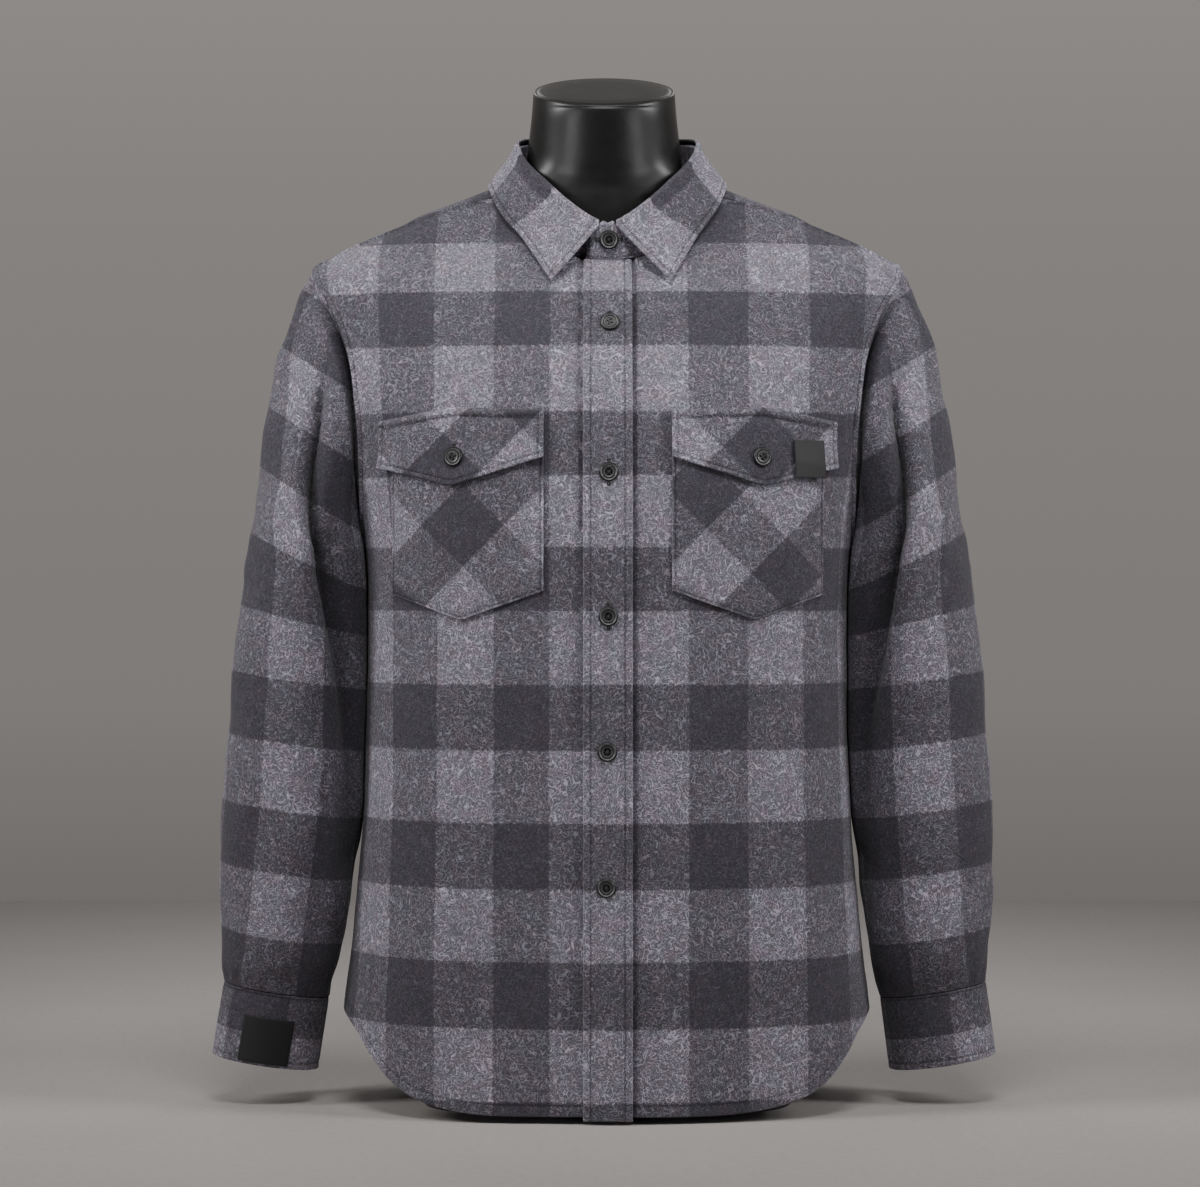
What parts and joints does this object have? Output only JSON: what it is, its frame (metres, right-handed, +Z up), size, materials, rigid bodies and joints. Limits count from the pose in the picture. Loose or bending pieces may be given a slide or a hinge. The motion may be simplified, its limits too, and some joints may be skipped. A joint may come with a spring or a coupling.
{
  "type": "flannel shirt on a torso dress form",
  "caption": "Checked long-sleeved flannel shirt with a turned-down collar, flapped chest pockets and a curved hem, buttoned over a limbless torso dress form with a neck.",
  "frame": {"origin": "the middle of the dress form's flat base, on the floor", "axes": "+Z up, -Y the way the shirt faces, +X to the wearer's left"},
  "size_m": [0.6418, 0.2765, 0.8453],
  "materials": {
    "front_right": "brushed checked flannel",
    "front_left": "brushed checked flannel",
    "back": "brushed checked flannel",
    "yoke": "brushed checked flannel",
    "placket": "brushed checked flannel",
    "collar_stand": "brushed checked flannel",
    "collar_fall": "brushed checked flannel",
    "sleeve_left": "brushed checked flannel",
    "sleeve_right": "brushed checked flannel",
    "sleeve_placket_left": "brushed checked flannel",
    "sleeve_placket_right": "brushed checked flannel",
    "cuff_left": "brushed checked flannel",
    "cuff_right": "brushed checked flannel",
    "pocket_left": "brushed checked flannel",
    "pocket_right": "brushed checked flannel",
    "flap_left": "brushed checked flannel",
    "flap_right": "brushed checked flannel",
    "button_stand": "polished",
    "button_1": "polished",
    "button_2": "polished",
    "button_3": "polished",
    "button_4": "polished",
    "button_5": "polished",
    "button_flap_left": "polished",
    "button_flap_right": "polished",
    "button_cuff_left": "polished",
    "button_cuff_right": "polished",
    "flap_label": "woven, bare",
    "cuff_label": "woven, bare",
    "dress_form": "satin"
  },
  "bodies": {
    "root": {"front_right": "front_right", "front_left": "front_left", "back": "back", "yoke": "yoke", "placket": "placket", "collar_stand": "collar_stand", "collar_fall": "collar_fall", "sleeve_left": "sleeve_left", "sleeve_right": "sleeve_right", "sleeve_placket_left": "sleeve_placket_left", "sleeve_placket_right": "sleeve_placket_right", "cuff_left": "cuff_left", "cuff_right": "cuff_right", "pocket_left": "pocket_left", "pocket_right": "pocket_right", "flap_left": "flap_left", "flap_right": "flap_right", "button_stand": "button_stand", "button_1": "button_1", "button_2": "button_2", "button_3": "button_3", "button_4": "button_4", "button_5": "button_5", "button_flap_left": "button_flap_left", "button_flap_right": "button_flap_right", "button_cuff_left": "button_cuff_left", "button_cuff_right": "button_cuff_right", "flap_label": "flap_label", "cuff_label": "cuff_label", "dress_form": "dress_form"}
  },
  "joints": []
}
